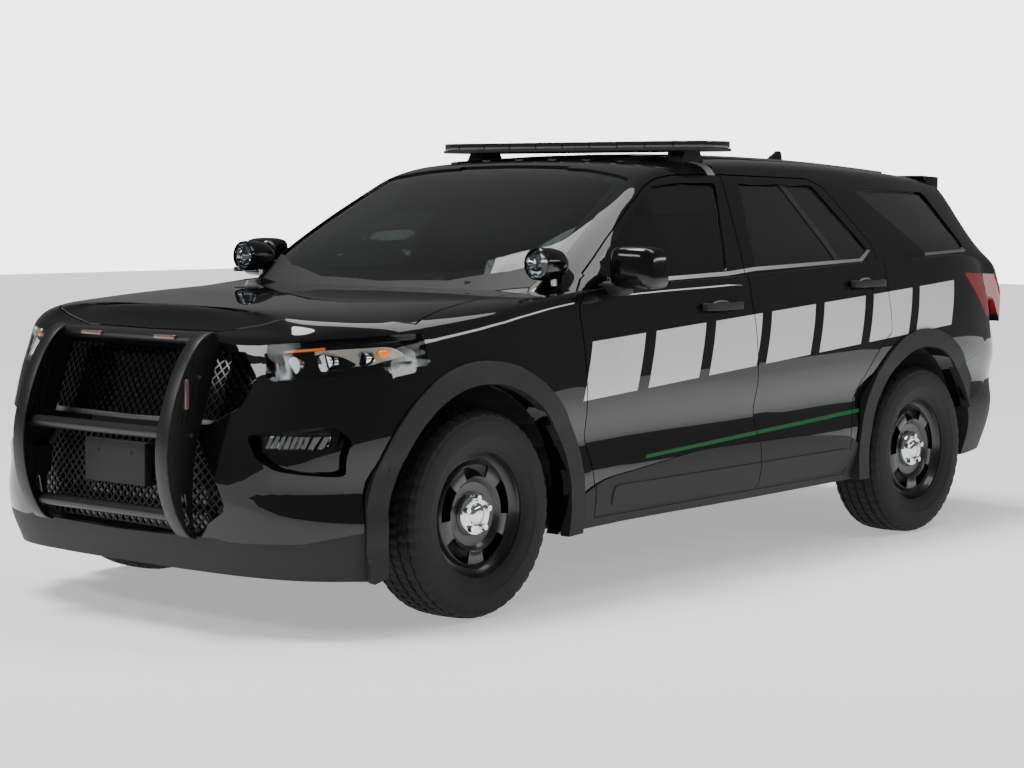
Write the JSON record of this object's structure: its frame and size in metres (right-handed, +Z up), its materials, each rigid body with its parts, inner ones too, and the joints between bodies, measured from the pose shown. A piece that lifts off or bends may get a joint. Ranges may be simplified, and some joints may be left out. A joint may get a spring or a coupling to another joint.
{
  "type": "police patrol utility vehicle",
  "caption": "Black police utility vehicle with push bumper, roof light bar and spotlights, with hinged doors, hood and tailgate, steered and rolling wheels.",
  "frame": {"origin": "middle of the footprint, on the ground under the tyres", "axes": "+X to the car's left, +Y to the rear, +Z up"},
  "size_m": [2.284, 5.1698, 1.765],
  "materials": {
    "paint": "gloss black clear coat",
    "cladding": "grained dark grey",
    "tinted_glass": "dark tinted",
    "headlamp": "clear lens",
    "tail_lamp": "red lens",
    "black_plastic": "black satin",
    "interior_trim": "grained black",
    "seat_fabric": "woven black",
    "chassis_steel": "dark coated",
    "engine_metal": "cast",
    "push_bumper_steel": "black powder coat",
    "light_bar_plastic": "smoked black",
    "spotlight_plastic": "gloss black",
    "tyre": "black rubber",
    "black_steel_wheel": "gloss black"
  },
  "bodies": {
    "body": {"body_side_left": "paint", "body_side_right": "paint", "roof_panel": "paint", "windscreen": "tinted_glass", "cowl_panel": "interior_trim", "front_fender_left": "paint", "front_fender_right": "paint", "headlamp_left": "headlamp", "headlamp_right": "headlamp", "front_bumper": "paint", "grille": "black_plastic", "rear_bumper": "cladding", "tail_lamp_left": "tail_lamp", "tail_lamp_right": "tail_lamp", "quarter_glass_left": "tinted_glass", "quarter_glass_right": "tinted_glass", "engine_bay": "chassis_steel", "floor_pan": "chassis_steel", "front_subframe": "chassis_steel", "engine_block": "engine_metal", "fuel_tank": "black_plastic", "rear_axle": "chassis_steel", "dashboard": "interior_trim", "steering_wheel": "interior_trim", "front_seat_left": "seat_fabric", "front_seat_right": "seat_fabric", "rear_bench": "seat_fabric", "push_bumper": "push_bumper_steel", "light_bar": "light_bar_plastic", "spotlight_left": "spotlight_plastic", "spotlight_right": "spotlight_plastic"},
    "hood": {"hood": "paint"},
    "tailgate": {"tailgate": "paint", "tailgate_glass": "tinted_glass"},
    "front_door_left": {"front_door_left": "paint", "front_door_glass_left": "tinted_glass", "mirror_left": "cladding"},
    "rear_door_left": {"rear_door_left": "paint", "rear_door_glass_left": "tinted_glass"},
    "front_door_right": {"front_door_right": "paint", "front_door_glass_right": "tinted_glass", "mirror_right": "cladding"},
    "rear_door_right": {"rear_door_right": "paint", "rear_door_glass_right": "tinted_glass"},
    "knuckle_left": {"knuckle_left": "engine_metal"},
    "knuckle_right": {"knuckle_right": "engine_metal"},
    "wheel_front_left": {"tyre_front_left": "tyre", "rim_front_left": "black_steel_wheel"},
    "wheel_front_right": {"tyre_front_right": "tyre", "rim_front_right": "black_steel_wheel"},
    "wheel_rear_left": {"tyre_rear_left": "tyre", "rim_rear_left": "black_steel_wheel"},
    "wheel_rear_right": {"tyre_rear_right": "tyre", "rim_rear_right": "black_steel_wheel"}
  },
  "joints": [
    {"name": "hood_hinge", "type": "hinge", "parent": "body", "child": "hood", "pos_m": [0, -1.0315, 1.1755], "axis": [-1, 0, 0], "range_deg": [0, 50]},
    {"name": "tailgate_hinge", "type": "hinge", "parent": "body", "child": "tailgate", "pos_m": [0, 2.0948, 1.6572], "axis": [1, 0, 0], "range_deg": [0, 80]},
    {"name": "front_door_left_hinge", "type": "hinge", "parent": "body", "child": "front_door_left", "pos_m": [0.9903, -0.9907, 0.856], "axis": [0, 0, -1], "range_deg": [0, 65]},
    {"name": "rear_door_left_hinge", "type": "hinge", "parent": "body", "child": "rear_door_left", "pos_m": [0.9903, 0.1307, 0.856], "axis": [0, 0, -1], "range_deg": [0, 70]},
    {"name": "front_door_right_hinge", "type": "hinge", "parent": "body", "child": "front_door_right", "pos_m": [-0.9903, -0.9907, 0.856], "axis": [0, 0, 1], "range_deg": [0, 65]},
    {"name": "rear_door_right_hinge", "type": "hinge", "parent": "body", "child": "rear_door_right", "pos_m": [-0.9903, 0.1307, 0.856], "axis": [0, 0, 1], "range_deg": [0, 70]},
    {"name": "steer_left", "type": "hinge", "parent": "body", "child": "knuckle_left", "pos_m": [0.8, -1.5594, 0.3816], "axis": [0, 0, 1], "range_deg": [-33, 33]},
    {"name": "steer_right", "type": "hinge", "parent": "body", "child": "knuckle_right", "pos_m": [-0.8, -1.5594, 0.3816], "axis": [0, 0, 1], "range_deg": [-33, 33]},
    {"name": "wheel_front_left_spin", "type": "hinge", "parent": "knuckle_left", "child": "wheel_front_left", "pos_m": [0.8475, -1.5594, 0.3816], "axis": [1, 0, 0], "continuous": true},
    {"name": "wheel_front_right_spin", "type": "hinge", "parent": "knuckle_right", "child": "wheel_front_right", "pos_m": [-0.8475, -1.5594, 0.3816], "axis": [1, 0, 0], "continuous": true},
    {"name": "wheel_rear_left_spin", "type": "hinge", "parent": "body", "child": "wheel_rear_left", "pos_m": [0.8475, 1.4656, 0.3816], "axis": [1, 0, 0], "continuous": true},
    {"name": "wheel_rear_right_spin", "type": "hinge", "parent": "body", "child": "wheel_rear_right", "pos_m": [-0.8475, 1.4656, 0.3816], "axis": [1, 0, 0], "continuous": true}
  ],
  "couplings": [
    {"joint": "steer_right", "follows": "steer_left", "ratio": 1}
  ]
}
